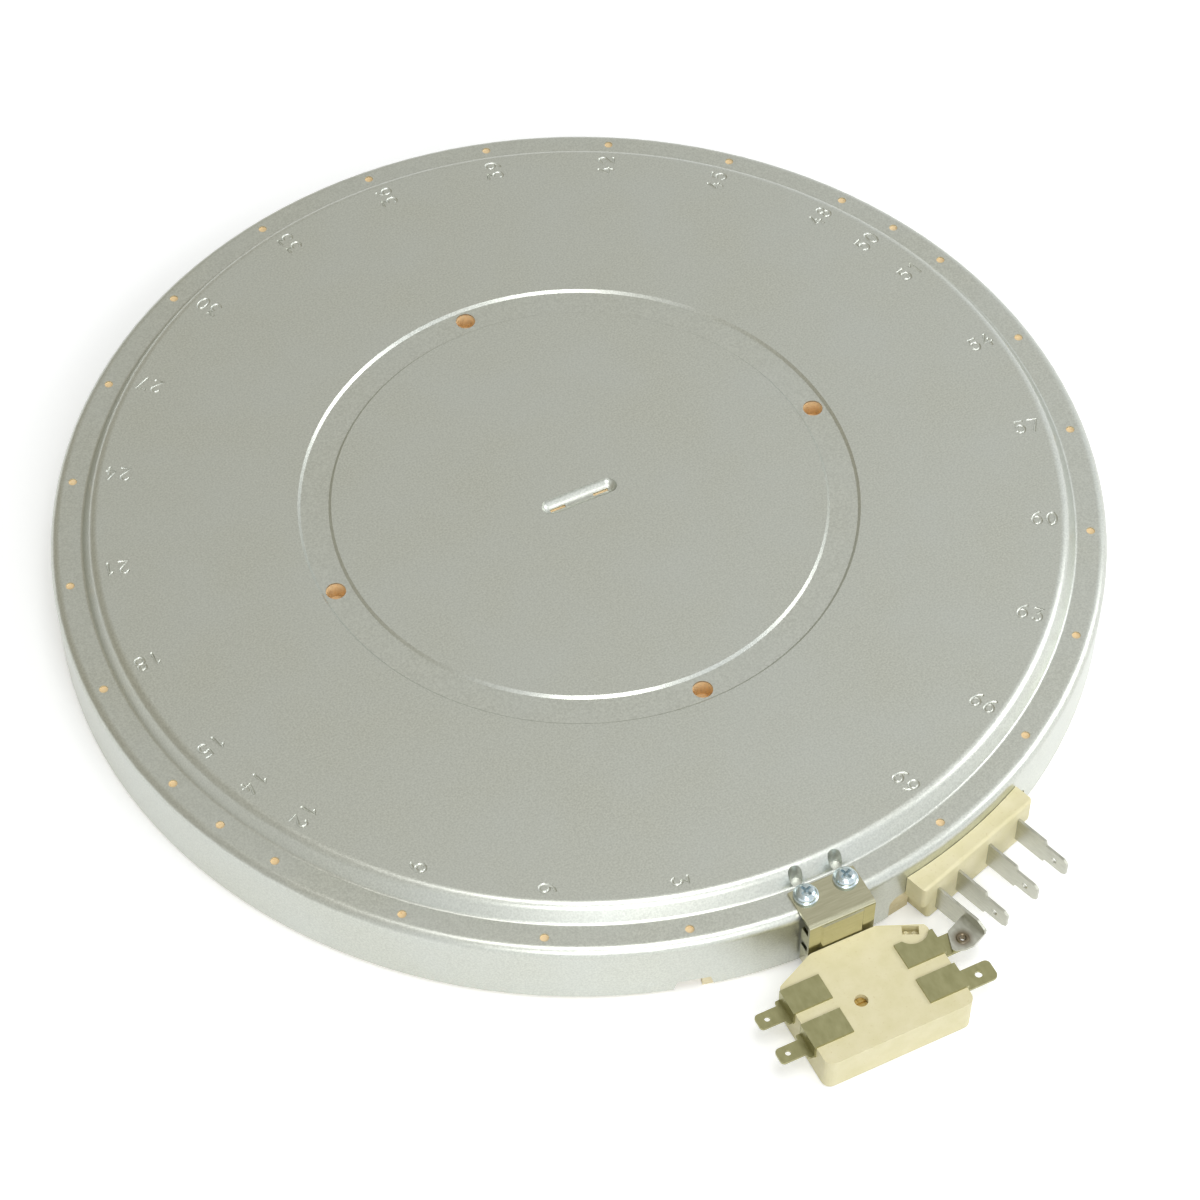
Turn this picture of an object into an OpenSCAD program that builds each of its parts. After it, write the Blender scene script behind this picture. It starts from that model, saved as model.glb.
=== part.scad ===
// Radiant surface element of a glass-ceramic hob, lying base up on its insulating rim.
// Origin on the pan's axis in the plane of the glass, +Z towards the pan base,
// -Y towards the rod limiter. Index steps of 5 degrees count clockwise from -Y.

/* [Pan] */
// Outside diameter of the sheet-steel pan
pan_d = 306; // [304:0.5:308]
// Height of the index flange above the glass plane
flange_z = 22.2; // [21.8:0.1:23]
// Rise of the raised base above the index flange
base_rise = 4.7; // [4.2:0.1:5.2]
// Thickness of the pan sheet
sheet = 0.5; // [0.4:0.05:0.6]
// Height of the wall's free edge above the glass plane
wall_edge_z = 1; // [0.5:0.1:1.5]
// Radius at which the flat of the raised base ends
shoulder_r = 138.9; // [138:0.1:139.5]
// Radius at which the flat of the index flange begins
foot_r = 144.3; // [143.8:0.1:144.6]
// Bend radius of the base's shoulder
shoulder_bend = 3.2; // [2.8:0.1:3.4]
// Bend radius at the foot of the step
foot_bend = 1; // [0.8:0.1:1.2]
// Bend radius between flange and wall
rim_bend = 2.8; // [2:0.1:3]
// Depth of the annular groove over the divider ring
groove_depth = 0.8; // [0.5:0.1:1]

/* [Holes in the pan] */
// Radius of the circle of index holes
index_r = 148; // [147.5:0.1:148.5]
// Diameter of an index hole
index_hole_d = 2.5; // [2:0.1:3]
// Radius of the circle of four base holes
base_hole_r = 77; // [76:0.1:78]
// Diameter of a base hole
base_hole_d = 5.8; // [5:0.1:6.2]
// Length of the centre trough
trough_l = 24; // [22:0.5:26]
// Depth of the centre trough
trough_depth = 2; // [1.6:0.1:2.2]

/* [Insulation] */
// Height of the board's heated face above the glass plane
board_z = 14; // [13.6:0.1:14.4]
// Inside radius of the insulating rim
rim_r_in = 143; // [142.6:0.1:143.4]
// Inside radius of the divider ring
divider_r_in = 72.5; // [72:0.1:73]
// Outside radius of the divider ring
divider_r_out = 80.5; // [80:0.1:81]
// Gap between divider ring and glass
divider_gap = 0.5; // [0.3:0.1:1]

/* [Heating ribbons] */
// Number of turns in the outer circuit, an odd number
outer_turns = 7; // [5, 7]
// Number of turns in the inner circuit, an odd number
inner_turns = 7; // [5, 7]
// Radius of the outermost turn of the outer circuit
outer_turn_r = 138; // [137.5:0.1:138.5]
// Radius of the outermost turn of the inner circuit
inner_turn_r = 66; // [65.5:0.1:66.5]
// Distance between two turns
turn_pitch = 8.2; // [8:0.1:8.3]
// Height of the ribbon, which stands on edge
ribbon_h = 4.3; // [4:0.1:4.6]
// Thickness of the ribbon
ribbon_t = 0.4; // [0.3:0.05:0.5]
// Half the depth of the ribbon's corrugation
wave_amp = 1.7; // [1.2:0.1:1.8]
// Length of half a corrugation
half_wave = 5; // [5:0.5:8]
// Depth of the channel that the ribbon stands in
channel_depth = 1.3; // [1:0.1:1.5]
// Width of that channel
channel_w = 4.8; // [4.6:0.1:5]

/* [Terminal block] */
// Direction of the block seen from the pan's axis
block_angle = -72.7; // [-74:0.1:-72]
// Distance of the block's outer face from the pan's axis
block_face = 158; // [157.6:0.1:158.4]
// Height of the block's top above the glass plane
block_top = 16.2; // [15.8:0.1:16.6]
// Width of a push-on tab
tab_w = 6.3; // [4.8, 6.3]
// Thickness of a blade
blade_t = 0.8; // [0.6:0.1:0.9]
// Distance of the blades' tips from the pan's axis
blade_tip = 176.2; // [175:0.1:177]

/* [Limiter] */
// Width of the ceramic limiter body
limiter_w = 44.8; // [44:0.2:46]
// Distance of the body's rear face from the pan's axis
limiter_rear = 158.6; // [158.5:0.1:158.8]
// Distance of the body's front face from the pan's axis
limiter_front = 191.2; // [190:0.1:192]
// Height of the body's top above the glass plane
limiter_top = 12; // [11.8:0.1:12.2]
// Height of the quartz tube's axis above the glass plane
tube_z = 6; // [5.9:0.1:6.1]
// Outside diameter of the quartz tube
tube_d = 6; // [5.8:0.1:6]
// Distance of the tube's far end from the pan's axis
tube_end = 146.5; // [145:0.1:147]
// Spacing of the two bracket screws
screw_pitch = 12.1; // [11.8:0.1:12.4]

/* [Hidden] */
$fn = 72;
eps = 0.01;

steel = "#b4b6ab";
board_colour = "#e6c391";
fibre_colour = "#e9dcb6";
alloy = "#6f6a63";
steatite = "#e3dcb5";
nickel = "#b9b9ad";
tinplate = "#a5a079";
zinc = "#c3ced2";
quartz = "#e8eef0";
brass = "#c9a646";

pan_r = pan_d / 2;
base_z = flange_z + base_rise;
// Centre lines of the groove's two ramps, and the length of a ramp
groove_in = 72.1;
groove_out = 81;
ramp = 0.8;
trough_bend = 2.9;
slit_in = 4.5;
slit_out = 9.3;
slit_w = 1;
dimple_y = 142.6;
screw_x = screw_pitch / 2;
screw_y = 147.9;
// Angle of the step between its two bends, which touch one straight line
step_run = foot_r - shoulder_r;
step_drop = shoulder_bend + foot_bend - base_rise;
slope = asin((shoulder_bend + foot_bend) / norm([step_run, step_drop]))
    - atan2(step_drop, step_run);

// Wall cut-out for the block, slot for the tube and notch in the free edge
cutout_w = 54.8;
cutout_z = 9;
tube_slot_w = 8;
notch_angle = -104.8;
notch_w = 11.6;
notch_top_w = 9.2;
notch_z = 4.5;

board_r = pan_r - sheet - 0.2;
plug_r = shoulder_r - 1;
ribbon_root_z = board_z + channel_depth;
// Edges of the lane that the leads run in, along the block's tangent
lane = [-13.5, 9.5];
inner_lane = [-8, 6];
lane_in = 10;

// Blade positions along the block: linked blade, then the three push-on blades
blade_at = [-16.4, -8.2, 4.1, 16];
blade_root = 154.6;
blade_z = [3, 12.2];
blade_shoulder = 168;
tab_z = 7.3;
tail_z = [3.4, 7];
tail_in = 141;
hook_w = 2.8;
leaf_z = 8.4;

wing_z = 7.6;
plate_t = 0.6;
plate_in = 11.2;
plate_w = 8;
// Middle of each limiter terminal along the body
rear_y = -169.4;
front_y = -181;
power_front_y = -182.4;
power_rear_y = -170.5;
rivet_at = [30.2, -171];
rivet_bore = 1.2;
boss_at = [17.8, -164];
body_z = 0.3;
cover_z = 1.9;
chamber_top = 8.6;
chamber_front = -187;
chamber_rear = -165;
contact_z = 7;
strip_t = 0.3;
lever_y = [-178, -174];
hole_at = [-4.8, -177.4];

// Shape helpers

function unit(v) = v / norm(v);

function arc(c, r, a, b, n = 6) =
    [for (i = [0:n]) c + r * [cos(a + (b - a) * i / n), sin(a + (b - a) * i / n)]];

// Corner q = [x, y, radius] between its neighbours p and s, as the points of its arc
function corner(p, q, s) = q[2] == 0 ? [[q[0], q[1]]] :
    let (c = [q[0], q[1]],
         u = unit([p[0], p[1]] - c),
         v = unit([s[0], s[1]] - c),
         half = acos(u * v) / 2,
         m = c + unit(u + v) * q[2] / sin(half),
         a0 = atan2(-(v - u * (u * v))[1], -(v - u * (u * v))[0]),
         cross = u[0] * v[1] - u[1] * v[0],
         turn = (180 - 2 * half) * (cross > 0 ? -1 : 1))
    arc(m, q[2], a0, a0 + turn, 5);

function rounded(points) = let (n = len(points))
    [for (i = [0:n - 1]) each corner(points[(i + n - 1) % n], points[i], points[(i + 1) % n])];

function mirrored(points) = concat(points,
    [for (i = [len(points) - 1:-1:0]) [-points[i][0], points[i][1], points[i][2]]]);

// Sheet-metal or ribbon outline of thickness t along a path, with mitred bends
function mitre(path, i) =
    let (last = len(path) - 1,
         before = i > 0 ? unit(path[i] - path[i - 1]) : unit(path[1] - path[0]),
         after = i < last ? unit(path[i + 1] - path[i]) : before,
         mean = unit(before + after))
    [-mean[1], mean[0]] / (mean * after);

function strip(path, t) = let (last = len(path) - 1) concat(
    [for (i = [0:last]) path[i] + mitre(path, i) * t / 2],
    [for (i = [last:-1:0]) path[i] - mitre(path, i) * t / 2]);

module ring(r_in, r_out, z0, z1) {
    translate([0, 0, z0])
        difference() {
            cylinder(r = r_out, h = z1 - z0, $fn = 180);
            translate([0, 0, -1])
                cylinder(r = r_in, h = z1 - z0 + 2, $fn = 180);
        }
}

// Box from low to high along all three axes
module span(low, high) {
    translate(low) cube(high - low);
}

// Turns the children from radial and tangential coordinates of the block to its place
module at_block() {
    rotate([0, 0, block_angle]) children();
}

// Upright plate drawn in radial distance and height, standing at t along the block
module upright(t, thick) {
    translate([0, t + thick / 2, 0])
        rotate([90, 0, 0])
            linear_extrude(thick) children();
}

// Pan

// Section of the pan's outer surface, moved inwards by o
function pan_section(o) = concat(
    [[0, base_z - o],
     [groove_in - ramp / 2, base_z - o],
     [groove_in + ramp / 2, base_z - groove_depth - o],
     [groove_out - ramp / 2, base_z - groove_depth - o],
     [groove_out + ramp / 2, base_z - o]],
    arc([shoulder_r, base_z - shoulder_bend], shoulder_bend - o, 90, 90 - slope),
    arc([foot_r, flange_z + foot_bend], foot_bend + o, 270 - slope, 270),
    arc([pan_r - rim_bend, flange_z - rim_bend], rim_bend - o, 90, 0),
    [[pan_r - o, wall_edge_z - (o > 0 ? 1 : 0)],
     [0, wall_edge_z - (o > 0 ? 1 : 0)]]);

module trough(o) {
    half = trough_l / 2 - trough_bend;
    translate([0, 0, base_z - trough_depth + trough_bend]) {
        rotate([0, 90, 0])
            cylinder(r = trough_bend + o, h = 2 * half, center = true);
        for (s = [-1, 1])
            translate([s * half, 0, 0]) sphere(r = trough_bend + o);
    }
}

// Driver clearance pressed into the step behind a bracket screw
module dimple(s, o) {
    translate([s * screw_x, -dimple_y, flange_z - o])
        cylinder(r1 = 1.5 + o, r2 = 2.9 + o, h = base_rise + o + 1);
}

module pan_form(o) {
    difference() {
        rotate_extrude($fn = 180) polygon(pan_section(o));
        trough(o);
        for (s = [-1, 1]) dimple(s, o);
    }
}

// Opening in the wall with rounded upper corners, cut outwards along +X
module wall_opening(w, h, r) {
    rotate([90, 0, 90])
        translate([0, 0, pan_r - 8])
            linear_extrude(16)
                polygon(rounded([[-w / 2, -1, 0], [w / 2, -1, 0], [w / 2, h, r], [-w / 2, h, r]]));
}

module index_holes() {
    steps = concat([for (k = [1:23]) 3 * k], [13.5, 49.5]);
    for (step = steps)
        rotate([0, 0, -90 - 5 * step])
            translate([index_r, 0, flange_z - 2])
                cylinder(d = index_hole_d, h = 4);
}

module base_holes(depth) {
    for (a = [0:90:270])
        rotate([0, 0, a])
            translate([base_hole_r, 0, base_z - groove_depth - depth])
                cylinder(d = base_hole_d, h = depth + 2);
}

module screw_holes(r, z0, z1) {
    for (s = [-1, 1])
        translate([s * screw_x, -screw_y, z0]) cylinder(r = r, h = z1 - z0);
}

module pan() {
    color(steel)
    difference() {
        pan_form(0);
        pan_form(sheet);
        index_holes();
        base_holes(2);
        screw_holes(1.45, flange_z - 2, flange_z + 1);
        for (s = [-1, 1])
            span([s * (slit_in + slit_out) / 2 - (slit_out - slit_in) / 2, -slit_w / 2, board_z],
                 [s * (slit_in + slit_out) / 2 + (slit_out - slit_in) / 2, slit_w / 2, base_z]);
        at_block() wall_opening(cutout_w, cutout_z, 3);
        rotate([0, 0, -90]) wall_opening(tube_slot_w, tube_z + tube_slot_w / 2, 3.9);
        rotate([0, 0, notch_angle])
            rotate([90, 0, 90])
                translate([0, 0, pan_r - 8])
                    linear_extrude(16)
                        polygon([[-notch_w / 2, 0], [notch_w / 2, 0],
                                 [notch_top_w / 2, notch_z], [-notch_top_w / 2, notch_z]]);
    }
}

// Insulation

module base_board() {
    color(board_colour)
    difference() {
        rotate_extrude($fn = 180)
            polygon([[0, board_z], [board_r, board_z], [board_r, flange_z - rim_bend],
                     [pan_r - rim_bend, flange_z - sheet], [plug_r, flange_z - sheet],
                     [plug_r, base_z - sheet], [0, base_z - sheet]]);
        ring(groove_in - ramp, groove_out + ramp, base_z - sheet - groove_depth, base_z);
        trough(sheet);
        base_holes(6);
        screw_holes(2, flange_z - 8, flange_z);
        for (s = [-1, 1]) dimple(s, sheet);
        for (k = [0:outer_turns - 1]) channel(outer_turn_r - k * turn_pitch);
        for (k = [0:inner_turns - 1]) channel(inner_turn_r - k * turn_pitch);
        at_block() {
            span([lane_in, lane[0] - 1.5, board_z - 1], [tail_in, lane[1] + 1.5, ribbon_root_z]);
            span([tail_in - 3, -20, board_z - 1], [tail_in + hook_w + 1, 20, ribbon_root_z]);
        }
    }
}

// Channel that a turn of ribbon stands in
module channel(r) {
    ring(r - channel_w / 2, r + channel_w / 2, board_z - 1, ribbon_root_z);
}

// Slot for the quartz tube, which bears on its crown
module tube_slot(from, to) {
    span([-tube_d / 2 - 0.5, from, -1], [tube_d / 2 + 0.5, to, tube_z + tube_d / 2]);
}

module rim_ring() {
    color(fibre_colour)
    difference() {
        ring(rim_r_in, board_r, 0, board_z);
        tube_slot(-pan_r, -rim_r_in + 5);
        tube_slot(rim_r_in - 5, tube_end + 4);
        at_block() span([rim_r_in - 5, -20.2, -1], [pan_r, 19.2, board_z + 1]);
        rotate([0, 0, notch_angle - 0.8])
            span([pan_r - 6, -4.2, -1], [pan_r + 1, 4.6, notch_z]);
    }
}

module divider_ring() {
    color(fibre_colour)
    difference() {
        ring(divider_r_in, divider_r_out, divider_gap, board_z);
        tube_slot(-divider_r_out - 1, -divider_r_in + 5);
        tube_slot(divider_r_in - 5, divider_r_out + 1);
        at_block()
            span([divider_r_in - 5, inner_lane[0] - 0.5, ribbon_root_z - ribbon_h - 0.4],
                 [divider_r_out + 1, inner_lane[1] + 0.5, board_z + 1]);
    }
}

// Heating ribbons

function polar(r, a) = r * [cos(a), sin(a)];

// One turn from angle a to angle b, corrugated between its two plain ends
function turn_path(r, a, b) =
    let (n = 2 * round(abs(b - a) * PI / 180 * r / half_wave / 2))
    [for (i = [0:n])
        polar(r + (i == 0 || i == n ? 0 : (i % 2 == 0 ? wave_amp : -wave_amp)), a + (b - a) * i / n)];

// Turns from radius r inwards, joined by hairpins on alternate sides of the lane
function circuit(r, turns, edges, first_up, first_edge) =
    [for (k = [0:turns - 1])
        let (rk = r - k * turn_pitch,
             up = (k % 2 == 0) == first_up,
             high = asin((k == 0 && up ? first_edge : edges[1]) / rk),
             low = 360 + asin(edges[0] / rk))
        each (up ? turn_path(rk, high, low) : turn_path(rk, low, high))];

// Plain lead that lies against the side of a blade's hook
function hook_lead(t) = [[tail_in + hook_w - 0.2, t], [tail_in - 0.8, t]];

module ribbon(path) {
    color(alloy)
    at_block()
        translate([0, 0, ribbon_root_z - ribbon_h])
            linear_extrude(ribbon_h) polygon(strip(path, ribbon_t));
}

lead_gap = blade_t / 2 + ribbon_t / 2;

module outer_ribbon() {
    start_t = blade_at[3] - lead_gap;
    end_t = blade_at[0] + lead_gap;
    r_last = outer_turn_r - (outer_turns - 1) * turn_pitch;
    ribbon(concat(
        hook_lead(start_t),
        circuit(outer_turn_r, outer_turns, lane, true, start_t + 3.5),
        [[r_last + 1, lane[0] + 2.5], [tail_in - 1, lane[0] + 2.5]],
        [for (i = [1:-1:0]) hook_lead(end_t)[i]]));
}

module inner_ribbon() {
    start_t = blade_at[1] + lead_gap;
    end_t = blade_at[2] - lead_gap;
    r_last = inner_turn_r - (inner_turns - 1) * turn_pitch;
    ribbon(concat(
        hook_lead(start_t),
        [[tail_in - 2, inner_lane[0] + 1.5], [inner_turn_r + 3, inner_lane[0] + 1.5]],
        circuit(inner_turn_r, inner_turns, inner_lane, false, 0),
        [[r_last + 1.5, end_t]],
        [for (i = [1:-1:0]) hook_lead(end_t)[i]]));
}

// Terminal block and blades

// Ceramic block: outer housing, neck in the wall cut-out and inner part in the rim
module block_form() {
    housing = rounded([[150, -22.3, 0], [block_face, -22.3, 1.2], [block_face, 21.3, 1.2], [150, 21.3, 0]]);
    lower = rounded([[150, -19.7, 0], [block_face, -19.7, 1.2], [block_face, 18.7, 1.2], [150, 18.7, 0]]);
    difference() {
        intersection() {
            union() {
                translate([0, 0, 8]) linear_extrude(block_top - 8) polygon(housing);
                translate([0, 0, 0.6]) linear_extrude(8) polygon(lower);
            }
            rotate([90, 0, 0])
                linear_extrude(60, center = true)
                    polygon(rounded([[140, 0.6, 0], [block_face, 0.6, 0],
                                     [block_face, block_top, 1], [140, block_top, 0]]));
        }
        rotate([0, 0, -block_angle]) translate([0, 0, -1]) cylinder(r = pan_r + 0.1, h = 30, $fn = 180);
    }
    span([rim_r_in + 1, -19.7, 0.6], [pan_r - 2.4, 18.7, 12.5]);
    span([rim_r_in + 1, -19.7, 0.6], [pan_r + 3, 18.7, cutout_z - 0.01]);
}

function blade_tail() =
    [[blade_root, tail_z[0]], [tail_in, tail_z[0]], [tail_in, board_z - 0.2],
     [tail_in + hook_w, board_z - 0.2], [tail_in + hook_w, tail_z[1]], [blade_root, tail_z[1]]];

// Push-on blade seen from its side: tail, wide root, shoulder and tab with a lead-in
module blade_outline() {
    half = tab_w / 2;
    difference() {
        polygon(concat(blade_tail(),
            [[blade_root, blade_z[1]], [blade_shoulder, blade_z[1]],
             [blade_shoulder + 0.5, tab_z + half], [blade_tip - 1.3, tab_z + half],
             [blade_tip, tab_z + half - 0.9], [blade_tip, tab_z - half + 0.9],
             [blade_tip - 1.3, tab_z - half], [blade_shoulder + 0.7, tab_z - half],
             [blade_shoulder + 0.2, blade_z[0]], [blade_root, blade_z[0]]]));
        translate([171.8, tab_z - 0.2]) circle(d = 1.9);
    }
}

module push_on_blade(k) {
    color(nickel) at_block() upright(blade_at[k], blade_t) blade_outline();
}

module common_blade() { push_on_blade(1); }
module inner_zone_blade() { push_on_blade(2); }
module outer_zone_blade() { push_on_blade(3); }

// Blade that is folded over the limiter's tab: its lower half turns flat at leaf_z
module link_blade() {
    side = concat(blade_tail(),
        rounded([[blade_root, blade_z[1], 0], [172.5, blade_z[1], 1], [175.4, 10.4, 0.8],
                 [175.4, leaf_z, 0], [167.2, leaf_z, 0], [166.2, 6.4, 0.6], [166.6, 4.2, 0.7],
                 [164.8, blade_z[0], 0.6], [blade_root, blade_z[0], 0]]));
    edge = blade_at[0] + blade_t / 2;
    leaf = rounded([[167.2, edge, 0], [175.4, edge, 0], [176, -21.6, 1], [175.2, -24, 1],
                    [173, -26.9, 0.6], [168, -23.4, 0.8]]);
    color(nickel)
    difference() {
        at_block() {
            upright(blade_at[0], blade_t) polygon(side);
            translate([0, 0, leaf_z]) linear_extrude(blade_t) polygon(leaf);
        }
        translate([rivet_at[0], rivet_at[1], leaf_z - 1]) cylinder(r = rivet_bore, h = 3);
    }
}

module terminal_block() {
    color(steatite)
    difference() {
        at_block() block_form();
        at_block() for (k = [1:3]) upright(blade_at[k], blade_t) blade_outline();
        link_blade();
    }
}

// Hollow rivet that joins the folded blade to the limiter's rear power tab
module link_rivet() {
    low = wing_z - 0.35;
    high = leaf_z + blade_t;
    color(nickel)
    translate([rivet_at[0], rivet_at[1], 0])
        rotate_extrude()
            polygon([[0.85, low], [1.7, low], [1.7, wing_z], [rivet_bore, wing_z], [rivet_bore, high],
                     [1.85, high], [1.6, high + 0.35], [1.1, high + 0.35], [0.85, high + 0.1]]);
}

// Limiter

module limiter_outline() {
    w = limiter_w / 2;
    polygon(rounded(mirrored([[0, -limiter_rear, 0], [10, -limiter_rear, 3], [w - 0.3, -limiter_rear - 5.4, 1],
                              [w, -limiter_rear - 6.6, 1], [w, -limiter_front, 2.6], [0, -limiter_front, 0]])));
}

// Cylinder along Y between two distances from the pan's axis, on the tube's axis
module along_tube(r, from, to) {
    translate([0, from, tube_z]) rotate([-90, 0, 0]) cylinder(r = r, h = to - from);
}

module limiter_body() {
    chamber = 16.5;
    color(steatite)
    difference() {
        union() {
            translate([0, 0, body_z]) linear_extrude(limiter_top - body_z) limiter_outline();
            along_tube(4.2, -limiter_rear - 1, -154.8);
        }
        span([-chamber, chamber_front, body_z - 1], [chamber, chamber_rear, chamber_top]);
        cover_form(1);
        along_tube(tube_d / 2, -161, -150);
        along_tube(1.6, chamber_rear - 1, -160);
        translate([hole_at[0], hole_at[1], 9.4]) cylinder(d = 3.8, h = 4);
        translate([hole_at[0], hole_at[1], chamber_top - 1]) cylinder(r = 1.3, h = 3);
        difference() {
            translate([boss_at[0], boss_at[1], 9]) rotate([0, 0, -26])
                span([-2.3, -1.4, 0], [2.3, 1.4, 4]);
            for (s = [-1, 1])
                translate([boss_at[0], boss_at[1], 8]) rotate([0, 0, -26])
                    translate([1.1 * s, 0, 0]) cylinder(r = 0.55, h = 2.6);
        }
        limiter_straps();
    }
}

module cover_form(below) {
    translate([0, 0, body_z - below])
        linear_extrude(cover_z - body_z + below)
            polygon(rounded([[-18, -188.6, 2], [18, -188.6, 2], [18, -164, 2], [-18, -164, 2]]));
}

module limiter_cover() {
    color(steatite) cover_form(0);
}

// Terminal strap on the +X side: plate on the body, leg down its flank, tab and inner leg
module strap(y, w, root) {
    x = limiter_w / 2;
    tip = x + (root > w ? 9.2 : 10.8);
    span([plate_in, y - plate_w / 2, limiter_top], [x + plate_t, y + plate_w / 2, limiter_top + plate_t]);
    span([x, y - plate_w / 2, wing_z], [x + plate_t, y + plate_w / 2, limiter_top + eps]);
    span([plate_in, y - plate_w / 2 + 1, contact_z], [plate_in + plate_t, y + plate_w / 2 - 1, limiter_top + eps]);
    translate([0, 0, wing_z])
        linear_extrude(blade_t)
            difference() {
                polygon(rounded([[x, y - root / 2, 0], [x + 2, y - root / 2, root > w ? 0.5 : 0],
                                 [x + 2.1, y - w / 2, 0], [tip, y - w / 2, w / 4], [tip, y + w / 2, w / 4],
                                 [x + 2.1, y + w / 2, 0], [x + 2, y + root / 2, root > w ? 0.5 : 0],
                                 [x, y + root / 2, 0]]));
                translate([x + 6.2, y]) circle(d = w > 5 ? 2.1 : 1.6);
            }
}

module signal_terminal_rear() {
    color(tinplate) mirror([1, 0, 0]) strap(rear_y, 4.8, 7.6);
}

module signal_terminal_front() {
    color(tinplate) mirror([1, 0, 0]) strap(front_y, 4.8, 7.6);
}

module power_terminal_front() {
    color(tinplate) strap(power_front_y, 6.3, 6.3);
}

// Its plate clears the round boss of the window, and its tab takes the rivet
module power_terminal_rear() {
    color(tinplate)
    difference() {
        strap(power_rear_y, 6.3, 6.3);
        translate([boss_at[0], boss_at[1], limiter_top]) cylinder(r = 4.8, h = 2);
        translate([rivet_at[0], rivet_at[1], wing_z - 1]) cylinder(r = rivet_bore, h = 3);
    }
}

module limiter_straps() {
    signal_terminal_rear();
    signal_terminal_front();
    power_terminal_front();
    power_terminal_rear();
}

module limiter_tube() {
    color(quartz)
    difference() {
        along_tube(tube_d / 2, -161, tube_end);
        along_tube(1.7, -162, tube_end + 1);
    }
}

module limiter_rod() {
    color(steel) along_tube(1.2, lever_y[1], tube_end + 3);
}

// Hexagon nut on the rod, bearing on the tube's far end
module rod_nut() {
    color(steel)
    difference() {
        translate([0, tube_end, tube_z]) rotate([-90, 0, 0]) cylinder(d = 5.6, h = 2.4, $fn = 6);
        along_tube(1.2, tube_end - 1, tube_end + 4);
    }
}

module switch_lever() {
    color(steatite) span([-12, lever_y[0], 4.6], [12, lever_y[1], contact_z - strip_t]);
}

// Contact strip that bridges the inner legs of two straps
module contact_strip(side, y0, y1) {
    x = side * (plate_in + plate_t / 2);
    color(brass) span([x - 2, y0, contact_z - strip_t], [x + 2, y1, contact_z]);
}

module signal_contact_spring() {
    contact_strip(-1, front_y - 1, rear_y + 1);
}

module power_contact_spring() {
    contact_strip(1, power_front_y - 1, power_rear_y + 1);
}

// Compression spring between the lever and the front wall of the chamber
module return_spring() {
    wire = 0.35;
    coil = 1.9;
    turns = 5;
    steps = 14;
    sides = 6;
    gap = lever_y[0] - chamber_front - 2 * wire;
    rings = turns * steps;
    points = [for (i = [0:rings]) for (k = [0:sides - 1])
        let (a = 360 * i / steps,
             b = 360 * k / sides,
             r = coil + wire * cos(b))
        [r * cos(a), chamber_front + wire + gap * i / rings + wire * sin(b), tube_z + r * sin(a)]];
    walls = [for (i = [0:rings - 1]) for (k = [0:sides - 1])
        let (p = i * sides + k,
             q = i * sides + (k + 1) % sides)
        [p, p + sides, q + sides, q]];
    ends = [[for (k = [0:sides - 1]) k], [for (k = [sides - 1:-1:0]) rings * sides + k]];
    color(zinc) polyhedron(points, concat(walls, ends));
}

module calibration_screw() {
    color(brass)
    translate([hole_at[0], hole_at[1], 0])
        difference() {
            union() {
                translate([0, 0, 9.4]) cylinder(r = 1.8, h = 1.1);
                translate([0, 0, contact_z - strip_t]) cylinder(r = 1.3, h = 3);
            }
            span([-2, -0.3, 10], [2, 0.3, 11]);
        }
}

// Bracket and its screws

module limiter_bracket() {
    t = 0.8;
    front = limiter_rear - 0.9;
    half_w = 10;
    fold = 1.2;
    profile = rounded([[-145, flange_z, 0], [-145, flange_z + t, 0], [-front, flange_z + t, fold],
                       [-front, 1.5, 0], [-front + t, 1.5, 0], [-front + t, flange_z, fold - t]]);
    color(tinplate)
    difference() {
        union() {
            rotate([90, 0, 90]) linear_extrude(2 * half_w, center = true) polygon(profile);
            translate([0, 0, 1.5])
                linear_extrude(flange_z - 1.9)
                    polygon([[-6.6, -front], [-6, -front - 0.6], [6, -front - 0.6], [6.6, -front]]);
            for (s = [-1, 1]) {
                span([s * (half_w - t / 2) - t / 2, -front + t - eps, 13], [s * (half_w - t / 2) + t / 2, -153.6, 18]);
                span([s * (half_w - t / 2) - t / 2, -front + t - eps, 3], [s * (half_w - t / 2) + t / 2, -153.6, 10.5]);
            }
        }
        along_tube(4.2, -limiter_rear - 1, -150);
        screw_holes(1.6, flange_z - 1, flange_z + 2);
    }
}

// Pan-head screw with a washer and a cross recess
module bracket_screw() {
    head_z = flange_z + 1.4;
    difference() {
        rotate_extrude()
            polygon(concat([[0, flange_z - 6.5], [0.6, flange_z - 6.5], [1.45, flange_z - 5], [1.45, flange_z + 0.8],
                            [3.5, flange_z + 0.8], [3.5, head_z]],
                           arc([1.3, head_z + 0.2], 1.8, 0, 90, 5), [[0, head_z + 2]]));
        for (a = [0, 90])
            rotate([0, 0, a + 20])
                translate([0, 0, head_z + 1.6]) cube([0.8, 3.4, 2], center = true);
    }
}

module bracket_screws() {
    color(zinc)
    for (s = [-1, 1])
        translate([s * screw_x, -screw_y, 0]) bracket_screw();
}

pan();
base_board();
rim_ring();
divider_ring();
outer_ribbon();
inner_ribbon();
terminal_block();
link_blade();
common_blade();
inner_zone_blade();
outer_zone_blade();
link_rivet();
limiter_bracket();
bracket_screws();
limiter_body();
limiter_cover();
signal_terminal_rear();
signal_terminal_front();
power_terminal_front();
power_terminal_rear();
limiter_tube();
limiter_rod();
rod_nut();
signal_contact_spring();
power_contact_spring();
switch_lever();
return_spring();
calibration_screw();
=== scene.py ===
import math

import bmesh
import bpy
from mathutils import Matrix, Quaternion, Vector


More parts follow.
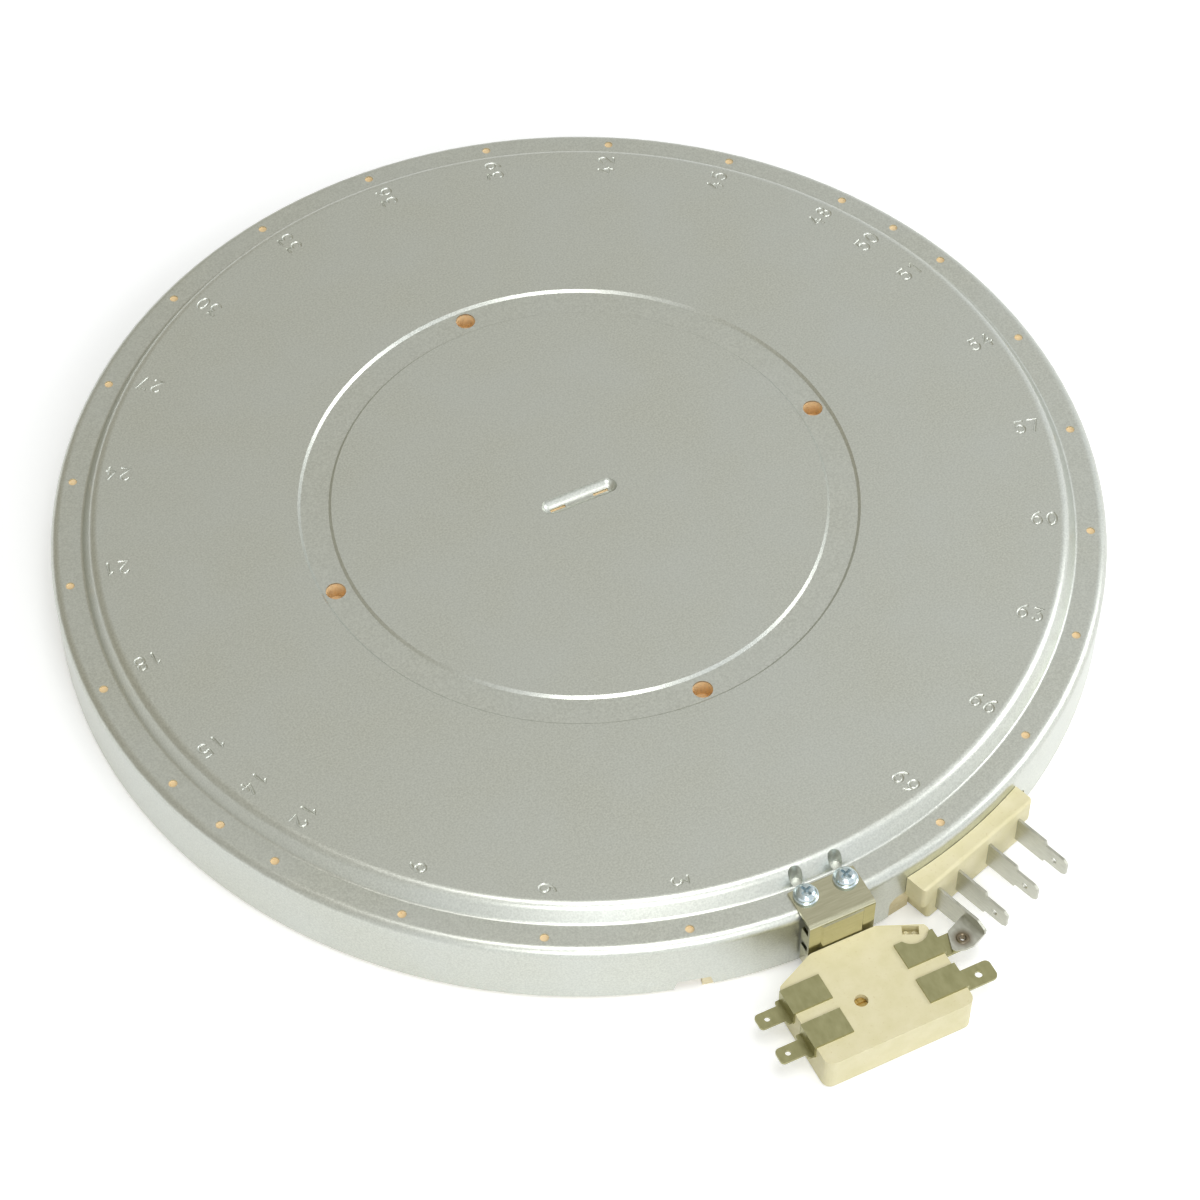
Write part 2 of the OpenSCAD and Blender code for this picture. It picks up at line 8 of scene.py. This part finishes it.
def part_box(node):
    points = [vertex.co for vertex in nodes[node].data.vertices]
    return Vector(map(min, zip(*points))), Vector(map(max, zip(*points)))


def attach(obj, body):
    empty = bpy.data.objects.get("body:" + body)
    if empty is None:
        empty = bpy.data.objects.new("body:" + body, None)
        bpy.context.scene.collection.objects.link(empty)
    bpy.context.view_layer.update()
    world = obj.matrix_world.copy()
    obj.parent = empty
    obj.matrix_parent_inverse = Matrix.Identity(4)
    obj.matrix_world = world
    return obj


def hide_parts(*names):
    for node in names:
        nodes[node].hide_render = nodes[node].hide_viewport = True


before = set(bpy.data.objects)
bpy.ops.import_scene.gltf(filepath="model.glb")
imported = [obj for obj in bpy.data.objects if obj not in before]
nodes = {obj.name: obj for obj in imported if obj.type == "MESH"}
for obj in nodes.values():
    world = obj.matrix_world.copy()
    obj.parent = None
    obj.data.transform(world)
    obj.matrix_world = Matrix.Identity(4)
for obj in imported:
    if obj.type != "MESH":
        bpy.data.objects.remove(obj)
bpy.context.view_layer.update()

mm = 0.001


# Colour and node helpers

def hexToLinear(code):
    parts = [int(code[i:i + 2], 16) / 255 for i in (1, 3, 5)]
    return tuple(p / 12.92 if p <= 0.04045 else ((p + 0.055) / 1.055) ** 2.4 for p in parts) + (1.0,)


def addNode(tree, kind, values=None, links=None, **settings):
    node = tree.nodes.new(kind)
    for name, value in settings.items():
        setattr(node, name, value)
    for name, value in (values or {}).items():
        node.inputs[name].default_value = value
    for name, source in (links or {}).items():
        tree.links.new(source, node.inputs[name])
    return node


def newMaterial(name, **shaderValues):
    material = bpy.data.materials.new(name)
    material.use_nodes = True
    tree = material.node_tree
    tree.nodes.clear()
    shader = addNode(tree, "ShaderNodeBsdfPrincipled", values=shaderValues)
    addNode(tree, "ShaderNodeOutputMaterial", links={"Surface": shader.outputs["BSDF"]})
    place = addNode(tree, "ShaderNodeTexCoord").outputs["Object"]
    return material, tree, shader, place


def grain(tree, place, sizeMm, stretch=(1, 1, 1), detail=3.0):
    # noise whose lumps are about sizeMm across, drawn out along an axis by a small stretch value
    mapped = addNode(tree, "ShaderNodeMapping", values={"Scale": stretch}, links={"Vector": place})
    return addNode(tree, "ShaderNodeTexNoise",
                   values={"Scale": 1 / (sizeMm * mm), "Detail": detail, "Roughness": 0.6},
                   links={"Vector": mapped.outputs["Vector"]}).outputs["Fac"]


def remap(tree, source, low, high, toLow=0.0, toHigh=1.0):
    return addNode(tree, "ShaderNodeMapRange",
                   values={"From Min": low, "From Max": high, "To Min": toLow, "To Max": toHigh},
                   links={"Value": source}).outputs["Result"]


def blendColours(tree, amount, first, second):
    # first and second are hex codes or colour sockets; input 6 is A and 7 is B of a colour mix
    mix = addNode(tree, "ShaderNodeMix", links={0: amount}, data_type="RGBA")
    for slot, colour in ((6, first), (7, second)):
        if isinstance(colour, str):
            mix.inputs[slot].default_value = hexToLinear(colour)
        else:
            tree.links.new(colour, mix.inputs[slot])
    return mix.outputs[2]


def setColour(tree, shader, colour):
    tree.links.new(colour, shader.inputs["Base Color"])


def setRoughness(tree, shader, pattern, low, high):
    # the pattern's darker half is given low, its lighter half high
    tree.links.new(remap(tree, pattern, 0.3, 0.7, low, high), shader.inputs["Roughness"])


def addBump(tree, shader, height, depthMm, strength=1.0):
    bump = addNode(tree, "ShaderNodeBump", values={"Distance": depthMm * mm, "Strength": strength},
                   links={"Height": height})
    tree.links.new(bump.outputs["Normal"], shader.inputs["Normal"])


# Materials

def aluminisedSteel():
    # hot-dip aluminium-silicon coating, temper rolled: a satin grey with fine light and dark crystals
    material, tree, shader, place = newMaterial("aluminisedSteel", Metallic=0.94)
    crystals = grain(tree, place, 0.55)
    clouds = grain(tree, place, 30, detail=2.0)
    base = blendColours(tree, remap(tree, crystals, 0.36, 0.64), "#c1c3ba", "#d3d5cc")
    tinted = blendColours(tree, remap(tree, clouds, 0.3, 0.7, 0, 0.25), base, "#d0d5d5")
    setColour(tree, shader, tinted)
    setRoughness(tree, shader, crystals, 0.3, 0.38)
    addBump(tree, shader, crystals, 0.01, 0.3)
    return material


def microporousBoard():
    # pressed silica powder: dead matt, warm cream with darker opacifier specks
    material, tree, shader, place = newMaterial("microporousBoard", Roughness=0.95)
    specks = grain(tree, place, 0.7)
    patches = grain(tree, place, 9)
    base = blendColours(tree, remap(tree, patches, 0.3, 0.7), "#efcf9c", "#f5dbb0")
    setColour(tree, shader, blendColours(tree, remap(tree, specks, 0.55, 0.75), base, "#d9b178"))
    addBump(tree, shader, specks, 0.12, 0.6)
    return material


def ceramicFibre():
    # vacuum-formed fibre: soft matt off-white with a felted surface
    material, tree, shader, place = newMaterial("ceramicFibre", Roughness=0.95)
    felt = grain(tree, place, 1.2, stretch=(1, 1, 2.5), detail=6.0)
    base = blendColours(tree, remap(tree, felt, 0.3, 0.7), "#e4d6ae", "#f1e7c8")
    setColour(tree, shader, base)
    addBump(tree, shader, felt, 0.2, 0.7)
    return material


def resistanceAlloy():
    # iron-chromium-aluminium foil after firing: grey-brown oxide with a dull sheen
    material, tree, shader, place = newMaterial("resistanceAlloy", Metallic=0.75)
    oxide = grain(tree, place, 2.5)
    setColour(tree, shader, blendColours(tree, remap(tree, oxide, 0.3, 0.7), "#6e675f", "#8c857b"))
    setRoughness(tree, shader, oxide, 0.4, 0.6)
    return material


def steatiteCeramic():
    # dry-pressed and fired, unglazed: smooth waxy cream with faint darker specks
    material, tree, shader, place = newMaterial("steatiteCeramic")
    shader.inputs["Specular IOR Level"].default_value = 0.4
    body = grain(tree, place, 6)
    specks = grain(tree, place, 0.8, detail=2.0)
    base = blendColours(tree, remap(tree, body, 0.3, 0.7), "#dcd4a9", "#e4dcb7")
    setColour(tree, shader, blendColours(tree, remap(tree, specks, 0.62, 0.8), base, "#d3c698"))
    setRoughness(tree, shader, specks, 0.42, 0.55)
    addBump(tree, shader, specks, 0.03, 0.4)
    return material


def nickelPlate(name="nickelPlate", dark="#b5b5a8", light="#c8c8bd", weld=None):
    # nickel-plated steel strip: satin with fine rolling lines along the tab
    material, tree, shader, place = newMaterial(name, Metallic=1.0)
    lines = grain(tree, place, 0.4, stretch=(0.3, 0.12, 1.0))
    colour = blendColours(tree, remap(tree, lines, 0.3, 0.7), dark, light)
    if weld:
        # the heat of riveting leaves a brown tint that fades within a few millimetres
        centred = addNode(tree, "ShaderNodeMapping", values={"Location": [-v * mm for v in weld["at"]]},
                          links={"Vector": place})
        away = addNode(tree, "ShaderNodeVectorMath", links={0: centred.outputs["Vector"]},
                       operation="LENGTH")
        tint = remap(tree, away.outputs["Value"], weld["core"] * mm, weld["reach"] * mm, 0.85, 0.0)
        colour = blendColours(tree, tint, colour, "#6b5a40")
    setColour(tree, shader, colour)
    setRoughness(tree, shader, lines, 0.3, 0.4)
    return material


def stainlessSheet():
    # bright-rolled stainless: a near mirror with a warm cast
    material, tree, shader, place = newMaterial("stainlessSheet", Metallic=1.0)
    waves = grain(tree, place, 5)
    lines = grain(tree, place, 0.6, stretch=(0.1, 1, 1))
    setColour(tree, shader, blendColours(tree, remap(tree, lines, 0.3, 0.7), "#bfbca0", "#ccc9ae"))
    setRoughness(tree, shader, lines, 0.1, 0.2)
    addBump(tree, shader, waves, 0.06, 0.4)
    return material


def brightZinc():
    # clear-passivated zinc plating: bluish and shiny
    material, tree, shader, place = newMaterial("brightZinc", Metallic=1.0)
    bloom = grain(tree, place, 1.0)
    setColour(tree, shader, blendColours(tree, remap(tree, bloom, 0.3, 0.7), "#b6c6cc", "#d3dde0"))
    setRoughness(tree, shader, bloom, 0.14, 0.26)
    return material


def fusedQuartz():
    # drawn fused quartz: clear and colourless with faint draw lines
    material, tree, shader, place = newMaterial("fusedQuartz", IOR=1.458)
    shader.inputs["Transmission Weight"].default_value = 0.9
    shader.inputs["Base Color"].default_value = hexToLinear("#eef3f3")
    drawn = grain(tree, place, 0.8, stretch=(1, 0.02, 1))
    setRoughness(tree, shader, drawn, 0.03, 0.12)
    return material


def heatSteel():
    # scaled heat-resisting steel: dark straw and grey
    material, tree, shader, place = newMaterial("heatSteel", Metallic=0.9)
    scale = grain(tree, place, 1.5, stretch=(1, 0.2, 1))
    setColour(tree, shader, blendColours(tree, remap(tree, scale, 0.3, 0.7), "#7d756a", "#a39c8f"))
    setRoughness(tree, shader, scale, 0.35, 0.5)
    return material


def rolledBrass():
    # rolled brass strip, lightly dulled
    material, tree, shader, place = newMaterial("rolledBrass", Metallic=1.0)
    lines = grain(tree, place, 0.5, stretch=(1, 0.1, 1))
    setColour(tree, shader, blendColours(tree, remap(tree, lines, 0.3, 0.7), "#b89a58", "#d2b878"))
    setRoughness(tree, shader, lines, 0.25, 0.4)
    return material


link = dict(at=(30.2, -171.0, 8.9), core=1.6, reach=3.4)
finishes = dict(
    steel=aluminisedSteel(),
    board=microporousBoard(),
    fibre=ceramicFibre(),
    alloy=resistanceAlloy(),
    steatite=steatiteCeramic(),
    nickel=nickelPlate(),
    linkNickel=nickelPlate("linkNickel", weld=link),
    plate=nickelPlate("limiterNickel", "#a29f75", "#aba880"),
    stainless=stainlessSheet(),
    zinc=brightZinc(),
    quartz=fusedQuartz(),
    rod=heatSteel(),
    brass=rolledBrass(),
)
nodeFinish = dict(
    pan="steel", base_board="board", rim_ring="fibre", divider_ring="fibre",
    outer_ribbon="alloy", inner_ribbon="alloy", terminal_block="steatite",
    link_blade="linkNickel", link_rivet="linkNickel",
    common_blade="nickel", inner_zone_blade="nickel", outer_zone_blade="nickel",
    limiter_bracket="stainless", bracket_screws="zinc", limiter_body="steatite", limiter_cover="steatite",
    signal_terminal_rear="plate", signal_terminal_front="plate",
    power_terminal_front="plate", power_terminal_rear="plate",
    limiter_tube="quartz", limiter_rod="rod", rod_nut="rod",
    signal_contact_spring="brass", power_contact_spring="brass",
    switch_lever="steatite", return_spring="rod", calibration_screw="brass",
)
for name, finish in nodeFinish.items():
    mesh = nodes[name].data
    mesh.materials.clear()
    mesh.materials.append(finishes[finish])
print("materials done")


# Mesh helpers

def linkMesh(name, mesh):
    piece = bpy.data.objects.new(name, mesh)
    bpy.context.scene.collection.objects.link(piece)
    return piece


def edgeMesh(name, paths):
    # each path is a list of points, and a closed one repeats its first point
    points = []
    edges = []
    for path in paths:
        closed = (Vector(path[0]) - Vector(path[-1])).length < 1e-9
        body = path[:-1] if closed else path
        first = len(points)
        points += [Vector(p) for p in body]
        edges += [(first + i, first + i + 1) for i in range(len(body) - 1)]
        if closed:
            edges.append((first + len(body) - 1, first))
    mesh = bpy.data.meshes.new(name)
    mesh.from_pydata(points, edges, [])
    return mesh


def newTree(name, inputs):
    # inputs maps a socket's name to its type; every tree takes and gives Geometry
    tree = bpy.data.node_groups.new(name, "GeometryNodeTree")
    tree.interface.new_socket("Geometry", in_out="INPUT", socket_type="NodeSocketGeometry")
    for label, kind in inputs.items():
        tree.interface.new_socket(label, in_out="INPUT", socket_type=kind)
    tree.interface.new_socket("Geometry", in_out="OUTPUT", socket_type="NodeSocketGeometry")
    return tree, addNode(tree, "NodeGroupInput").outputs


def finishTree(tree, geometry, material):
    whole = addNode(tree, "GeometryNodeRealizeInstances", links={"Geometry": geometry})
    painted = addNode(tree, "GeometryNodeSetMaterial",
                      links={"Geometry": whole.outputs["Geometry"], "Material": material})
    addNode(tree, "NodeGroupOutput", links={"Geometry": painted.outputs["Geometry"]})


def bakeTree(piece, tree, values):
    # sets the named inputs, then swaps the piece's mesh for the evaluated one
    modifier = piece.modifiers.new(tree.name, "NODES")
    modifier.node_group = tree
    sockets = {s.name: s.identifier for s in tree.interface.items_tree if s.in_out == "INPUT"}
    for label, value in values.items():
        modifier[sockets[label]] = value
    graph = bpy.context.evaluated_depsgraph_get()
    made = bpy.data.meshes.new_from_object(piece.evaluated_get(graph), depsgraph=graph)
    piece.modifiers.clear()
    piece.data = made
    return piece


def shadeRound(mesh, degrees=32):
    mesh.polygons.foreach_set("use_smooth", [True] * len(mesh.polygons))
    mesh.set_sharp_from_angle(angle=math.radians(degrees))


# Heating ribbons: corrugated foil on edge, wound in turns that are joined by hairpins beside a lane

block = dict(angle=-72.7, tail=141, hook=2.8, lap=0.2, past=0.8,
             bladeAt=(-16.4, -8.2, 4.1, 16), bladeThick=0.8)
foil = dict(pitch=8.2, turns=7, wave=4.6, depth=1.7, thick=0.25, step=0.42)
outerRun = dict(radius=138, lane=(-13.5, 9.5), first=19.1)
innerRun = dict(radius=66, lane=(-8, 6), first=None)


def ribbonTree():
    tree, given = newTree("ribbonTree", {
        "Wave": "NodeSocketFloat", "Depth": "NodeSocketFloat", "Thickness": "NodeSocketFloat",
        "Height": "NodeSocketFloat", "Step": "NodeSocketFloat", "Material": "NodeSocketMaterial"})
    guide = addNode(tree, "GeometryNodeMeshToCurve", links={"Mesh": given["Geometry"]})
    fine = addNode(tree, "GeometryNodeResampleCurve",
                   links={"Curve": guide.outputs["Curve"], "Length": given["Step"]}, mode="LENGTH")
    along = addNode(tree, "GeometryNodeSplineParameter").outputs["Length"]
    turns = addNode(tree, "ShaderNodeMath", links={0: along, 1: given["Wave"]}, operation="DIVIDE")
    angle = addNode(tree, "ShaderNodeMath", values={1: math.tau}, links={0: turns.outputs[0]},
                    operation="MULTIPLY")
    wave = addNode(tree, "ShaderNodeMath", links={0: angle.outputs[0]}, operation="SINE")
    waved = addNode(tree, "GeometryNodeInputNamedAttribute", values={"Name": "waved"}, data_type="FLOAT")
    shown = addNode(tree, "ShaderNodeMath", links={0: wave.outputs[0], 1: waved.outputs["Attribute"]},
                    operation="MULTIPLY")
    reach = addNode(tree, "ShaderNodeMath", links={0: shown.outputs[0], 1: given["Depth"]},
                    operation="MULTIPLY")
    tangent = addNode(tree, "GeometryNodeInputTangent")
    across = addNode(tree, "ShaderNodeVectorMath", values={1: (0, 0, 1)},
                     links={0: tangent.outputs["Tangent"]}, operation="CROSS_PRODUCT")
    shift = addNode(tree, "ShaderNodeVectorMath",
                    links={0: across.outputs["Vector"], "Scale": reach.outputs[0]}, operation="SCALE")
    bent = addNode(tree, "GeometryNodeSetPosition",
                   links={"Geometry": fine.outputs["Curve"], "Offset": shift.outputs["Vector"]})
    upright = addNode(tree, "GeometryNodeSetCurveNormal", links={"Curve": bent.outputs["Geometry"]},
                      mode="Z_UP")
    section = addNode(tree, "GeometryNodeCurvePrimitiveQuadrilateral",
                      links={"Width": given["Thickness"], "Height": given["Height"]})
    swept = addNode(tree, "GeometryNodeCurveToMesh", values={"Fill Caps": True},
                    links={"Curve": upright.outputs["Curve"], "Profile Curve": section.outputs["Curve"]})
    finishTree(tree, swept.outputs["Mesh"], given["Material"])
    return tree


def turnPoints(radius, start, end):
    # a point every 3 mm or so, which the tree resamples
    count = round(abs(end - start) * radius / 3)
    angles = [start + (end - start) * i / count for i in range(count + 1)]
    return [(radius * math.cos(a), radius * math.sin(a)) for a in angles]


def circuitPoints(run, firstUp):
    path = []
    for k in range(foil["turns"]):
        radius = run["radius"] - k * foil["pitch"]
        up = (k % 2 == 0) == firstUp
        top = run["first"] if k == 0 and run["first"] else run["lane"][1]
        high = math.asin(top / radius)
        low = math.tau + math.asin(run["lane"][0] / radius)
        path += turnPoints(radius, high, low) if up else turnPoints(radius, low, high)
    return path


def hookLead(across):
    # the ribbon's plain end lies along the side of a blade's hook and a little past it
    return [(block["tail"] + block["hook"] - block["lap"], across), (block["tail"] - block["past"], across)]


def makeRibbon(node, start, turns, end):
    # the turns are corrugated, the leads at both ends stay plain
    low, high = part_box(node)
    middle = (low.z + high.z) / 2
    turned = Matrix.Rotation(math.radians(block["angle"]), 4, "Z")
    points = [turned @ Vector((x * mm, y * mm, middle)) for x, y in start + turns + end]
    mesh = edgeMesh(node, [points])
    waved = mesh.attributes.new("waved", "FLOAT", "POINT")
    first, last = len(start), len(start) + len(turns)
    waved.data.foreach_set("value", [1.0 if first < i < last - 1 else 0.0 for i in range(len(points))])
    piece = linkMesh(node.replace("_", " ").title().replace(" ", ""), mesh)
    bakeTree(piece, foilTree, {
        "Wave": foil["wave"] * mm, "Depth": foil["depth"] * mm, "Thickness": foil["thick"] * mm,
        "Height": high.z - low.z, "Step": foil["step"] * mm, "Material": finishes["alloy"]})
    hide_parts(node)
    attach(piece, "root")
    print(node, "has", len(piece.data.polygons), "faces")


foilTree = ribbonTree()
gap = block["bladeThick"] / 2 + 0.2
lastRadius = [run["radius"] - (foil["turns"] - 1) * foil["pitch"] for run in (outerRun, innerRun)]
outerStart = block["bladeAt"][3] - gap
outerEnd = block["bladeAt"][0] + gap
innerStart = block["bladeAt"][1] + gap
innerEnd = block["bladeAt"][2] - gap
makeRibbon("outer_ribbon", hookLead(outerStart), circuitPoints(outerRun, True),
           [(lastRadius[0] + 1, outerRun["lane"][0] + 2.5), (block["tail"] - 1, outerRun["lane"][0] + 2.5)]
           + hookLead(outerEnd)[::-1])
makeRibbon("inner_ribbon", hookLead(innerStart)
           + [(block["tail"] - 2, innerRun["lane"][0] + 1.5),
              (innerRun["radius"] + 3, innerRun["lane"][0] + 1.5)],
           circuitPoints(innerRun, False),
           [(lastRadius[1] + 1.5, innerEnd)] + hookLead(innerEnd)[::-1])


# Stamped index numbers: round-bottomed strokes pressed into the pan beside the index holes

stamp = dict(height=4.4, width=0.56, advance=4.3, radius=134.2, single=135.5,
             stroke=0.5, depth=0.35, sides=16)


def arcPoints(cx, cy, rx, ry, start, end):
    count = max(4, round(abs(end - start) / 20))
    angles = [math.radians(start + (end - start) * i / count) for i in range(count + 1)]
    return [(cx + rx * math.cos(a), cy + ry * math.sin(a)) for a in angles]


def digitStrokes(digit):
    # strokes in a cell one unit high and stamp["width"] wide
    w = stamp["width"]
    c = w / 2
    bowl = arcPoints(c, 0.3, c, 0.3, 0, 360)
    spine = arcPoints(w, 0.3, w, 0.7, 180, 104)
    return {
        "0": [arcPoints(c, 0.5, c, 0.5, 0, 360)],
        "1": [[(0.1, 0.78), (c + 0.05, 1), (c + 0.05, 0)]],
        "2": [arcPoints(c, 0.72, c * 0.9, 0.28, 160, -30) + [(0, 0), (w, 0)]],
        "3": [[(0.02, 1), (w - 0.04, 1), (c * 0.85, 0.61)] + arcPoints(c, 0.31, c, 0.31, 92, -145)],
        "4": [[(w * 0.62, 1), (0, 0.3), (w, 0.3)], [(w * 0.72, 0.56), (w * 0.72, 0)]],
        "5": [[(w - 0.04, 1), (0.08, 1), (0.04, 0.56)] + arcPoints(c, 0.32, c, 0.32, 128, -145)],
        "6": [bowl, spine],
        "7": [[(0, 1), (w, 1), (w * 0.35, 0)]],
        "8": [arcPoints(c, 0.76, c * 0.82, 0.24, 0, 360), arcPoints(c, 0.27, c, 0.27, 0, 360)],
        "9": [[(w - x, 1 - y) for x, y in stroke] for stroke in (bowl, spine)],
    }[digit]


def numberStrokes(label, step, level):
    # the number reads outwards from the pan's axis, at its hole's angle
    angle = math.radians(-90 - 5 * step)
    size = stamp["height"]
    length = (len(label) - 1) * stamp["advance"] + stamp["width"] * size
    out = Vector((math.cos(angle), math.sin(angle), 0))
    side = Vector((-out.y, out.x, 0))
    middle = stamp["radius"] if len(label) > 1 else stamp["single"]
    for k, digit in enumerate(label):
        start = middle - length / 2 + k * stamp["advance"]
        for stroke in digitStrokes(digit):
            yield [(out * (start + x * size) + side * (y - 0.5) * size) * mm + Vector((0, 0, level))
                   for x, y in stroke]


def stampTree():
    tree, given = newTree("stampTree", {
        "Strokes": "NodeSocketObject", "Radius": "NodeSocketFloat", "Sides": "NodeSocketInt",
        "Material": "NodeSocketMaterial"})
    drawn = addNode(tree, "GeometryNodeObjectInfo", links={"Object": given["Strokes"]})
    curves = addNode(tree, "GeometryNodeMeshToCurve", links={"Mesh": drawn.outputs["Geometry"]})
    section = addNode(tree, "GeometryNodeCurvePrimitiveCircle",
                      links={"Resolution": given["Sides"], "Radius": given["Radius"]})
    rods = addNode(tree, "GeometryNodeCurveToMesh", values={"Fill Caps": True},
                   links={"Curve": curves.outputs["Curve"], "Profile Curve": section.outputs["Curve"]})
    loops = addNode(tree, "GeometryNodeInputSplineCyclic")
    tips = addNode(tree, "GeometryNodeCurveEndpointSelection", values={"Start Size": 1, "End Size": 1})
    isOpen = addNode(tree, "FunctionNodeBooleanMath",
                     links={0: tips.outputs["Selection"], 1: loops.outputs["Cyclic"]}, operation="NIMPLY")
    ball = addNode(tree, "GeometryNodeMeshIcoSphere", values={"Subdivisions": 2},
                   links={"Radius": given["Radius"]})
    ends = addNode(tree, "GeometryNodeInstanceOnPoints",
                   links={"Points": curves.outputs["Curve"], "Selection": isOpen.outputs[0],
                          "Instance": ball.outputs["Mesh"]})
    balls = addNode(tree, "GeometryNodeRealizeInstances", links={"Geometry": ends.outputs["Instances"]})
    cut = addNode(tree, "GeometryNodeMeshBoolean", values={"Self Intersection": True},
                  links={"Mesh 1": given["Geometry"]}, operation="DIFFERENCE", solver="EXACT")
    tree.links.new(rods.outputs["Mesh"], cut.inputs["Mesh 2"])
    tree.links.new(balls.outputs["Geometry"], cut.inputs["Mesh 2"])
    finishTree(tree, cut.outputs["Mesh"], given["Material"])
    return tree


def makePan():
    # a joined copy of the pan's solid takes the stamps, so the sheet and the numbers are one skin
    mesh = nodes["pan"].data.copy()
    joined = bmesh.new()
    joined.from_mesh(mesh)
    bmesh.ops.remove_doubles(joined, verts=joined.verts, dist=1e-6)
    joined.to_mesh(mesh)
    joined.free()
    if "custom_normal" in mesh.attributes:
        mesh.attributes.remove(mesh.attributes["custom_normal"])
    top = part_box("pan")[1].z
    level = top + (stamp["stroke"] - stamp["depth"]) * mm
    labels = {3 * k: 3 * k for k in range(1, 24)}
    labels.update({14: 13.5, 50: 49.5})
    paths = [path for label, step in labels.items() for path in numberStrokes(str(label), step, level)]
    strokes = linkMesh("indexStrokes", edgeMesh("indexStrokes", paths))
    piece = linkMesh("StampedPan", mesh)
    bakeTree(piece, stampTree(), {
        "Strokes": strokes, "Radius": stamp["stroke"] * mm, "Sides": stamp["sides"],
        "Material": finishes["steel"]})
    bpy.data.objects.remove(strokes)
    shadeRound(piece.data)
    weighted = piece.modifiers.new("flatFacesFlat", "WEIGHTED_NORMAL")
    weighted.keep_sharp = True
    graph = bpy.context.evaluated_depsgraph_get()
    made = bpy.data.meshes.new_from_object(piece.evaluated_get(graph), depsgraph=graph)
    piece.modifiers.clear()
    piece.data = made
    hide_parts("pan")
    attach(piece, "root")
    print("pan has", len(piece.data.polygons), "faces")


makePan()


# Studio

studio = dict(floor=4.0, glow=0.3, fill=0.6, bright="#fafdff", dull="#b3afa0",
              brightSide=(0.6, -0.72, -0.36), dullest=-0.95, brightest=0.15)
shot = dict(place=(-0.29076, -0.58695, 0.81927), aim=(-0.01008, -0.03351, 0.0222), lens=106.602, roll=0.334)
lamps = {
    "topBox": dict(place=(0.0, -0.35, 1.7), size=0.8, power=8),
    "frontBox": dict(place=(-0.5, -1.7, 1.1), size=1.0, power=12),
    "sideBox": dict(place=(1.5, -0.5, 0.9), size=0.9, power=8),
}


def directRays(tree):
    # 1 for what the camera sees straight on, in a shiny surface or through glass
    rays = addNode(tree, "ShaderNodeLightPath").outputs
    shiny = addNode(tree, "ShaderNodeMath",
                    links={0: rays["Is Glossy Ray"], 1: rays["Is Transmission Ray"]}, operation="MAXIMUM")
    return addNode(tree, "ShaderNodeMath", links={0: shiny.outputs[0], 1: rays["Is Camera Ray"]},
                   operation="MAXIMUM").outputs[0]


def makeFloor():
    # white paper whose faint glow lifts it to white and leaves the shadow
    half = studio["floor"] / 2
    mesh = bpy.data.meshes.new("floor")
    corners = [(-half, -half, 0), (half, -half, 0), (half, half, 0), (-half, half, 0)]
    mesh.from_pydata(corners, [], [(0, 1, 2, 3)])
    floor = linkMesh("floor", mesh)
    material, tree, shader = newMaterial("palePaper", Roughness=0.9)[:3]
    shader.inputs["Base Color"].default_value = hexToLinear("#f5f6f7")
    shader.inputs["Emission Color"].default_value = hexToLinear("#ffffff")
    glow = remap(tree, directRays(tree), 0, 1, 0, studio["glow"])
    tree.links.new(glow, shader.inputs["Emission Strength"])
    mesh.materials.append(material)


def makeWorld():
    # a white surround that turns to a warm grey away from its bright side
    world = bpy.data.worlds.new("studioWorld")
    bpy.context.scene.world = world
    world.use_nodes = True
    tree = world.node_tree
    tree.nodes.clear()
    direction = addNode(tree, "ShaderNodeTexCoord").outputs["Generated"]
    facing = addNode(tree, "ShaderNodeVectorMath", values={1: Vector(studio["brightSide"]).normalized()},
                     links={0: direction}, operation="DOT_PRODUCT").outputs["Value"]
    sky = blendColours(tree, remap(tree, facing, studio["dullest"], studio["brightest"]),
                       studio["dull"], studio["bright"])
    strength = remap(tree, directRays(tree), 0, 1, studio["fill"], 1.0)
    shade = addNode(tree, "ShaderNodeBackground", links={"Color": sky, "Strength": strength})
    addNode(tree, "ShaderNodeOutputWorld", links={"Surface": shade.outputs["Background"]})


def makeLamps():
    for name, lamp in lamps.items():
        data = bpy.data.lights.new(name, "AREA")
        data.energy = lamp["power"]
        data.size = lamp["size"]
        light = bpy.data.objects.new(name, data)
        bpy.context.scene.collection.objects.link(light)
        light.location = lamp["place"]
        light.rotation_euler = (-Vector(lamp["place"])).to_track_quat("-Z", "Y").to_euler()


def makeCamera():
    data = bpy.data.cameras.new("photoView")
    data.lens = shot["lens"]
    camera = bpy.data.objects.new("photoView", data)
    bpy.context.scene.collection.objects.link(camera)
    camera.location = shot["place"]
    look = (Vector(shot["aim"]) - Vector(shot["place"])).to_track_quat("-Z", "Y")
    camera.rotation_mode = "QUATERNION"
    camera.rotation_quaternion = look @ Quaternion((0, 0, 1), math.radians(shot["roll"]))
    bpy.context.scene.camera = camera


makeFloor()
makeWorld()
makeLamps()
makeCamera()
bpy.context.scene.view_settings.view_transform = "Standard"
print("studio done")
